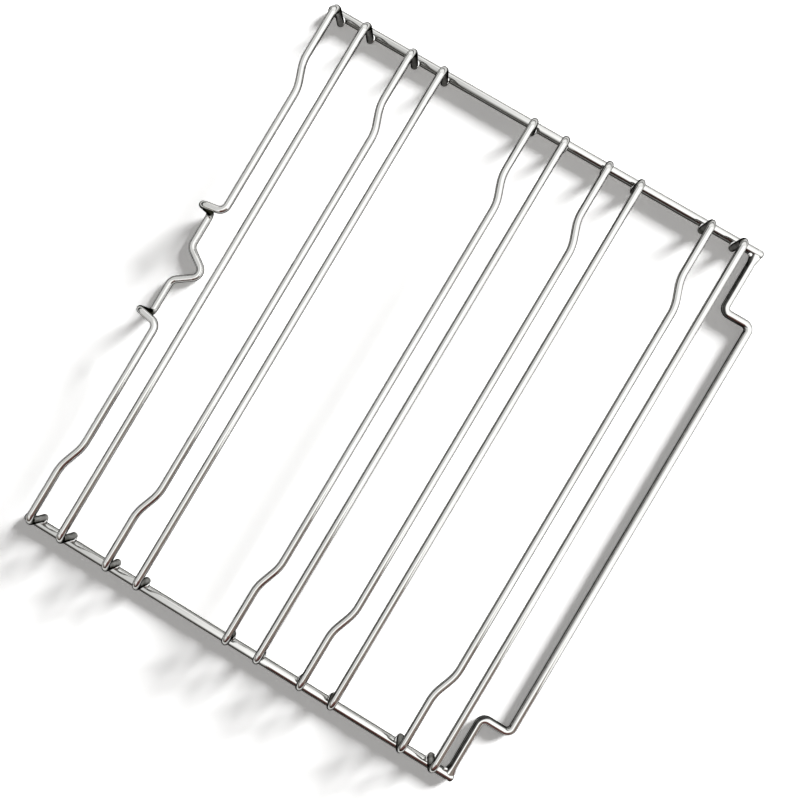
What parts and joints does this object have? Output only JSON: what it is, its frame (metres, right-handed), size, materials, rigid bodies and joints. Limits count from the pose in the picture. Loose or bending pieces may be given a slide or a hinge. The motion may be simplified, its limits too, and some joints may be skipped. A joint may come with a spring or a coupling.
{
  "type": "oven side rack",
  "caption": "Chrome-plated wire side rack for an oven: bent shelf and guide wires welded across upright rods, with a notched hanger at the top and a stepped foot wire at the bottom.",
  "frame": {"origin": "under the middle of the rack, on the plane of the oven wall that its back rests on", "axes": "+X along the shelf wires from the rear upright to the front one, +Y up the uprights from the foot wire to the hanger, +Z away from the oven wall"},
  "size_m": [0.39, 0.3408, 0.0285],
  "materials": {
    "plated_wire": "bright polished plating, with slight waviness along the wires"
  },
  "bodies": {
    "root": {"rear_upright": "plated_wire", "front_upright": "plated_wire", "shelf_wire_1": "plated_wire", "shelf_wire_2": "plated_wire", "shelf_wire_3": "plated_wire", "shelf_wire_4": "plated_wire", "shelf_wire_5": "plated_wire", "guide_wire_1": "plated_wire", "guide_wire_2": "plated_wire", "guide_wire_3": "plated_wire", "guide_wire_4": "plated_wire", "hanger_wire": "plated_wire", "foot_wire": "plated_wire"}
  },
  "joints": []
}
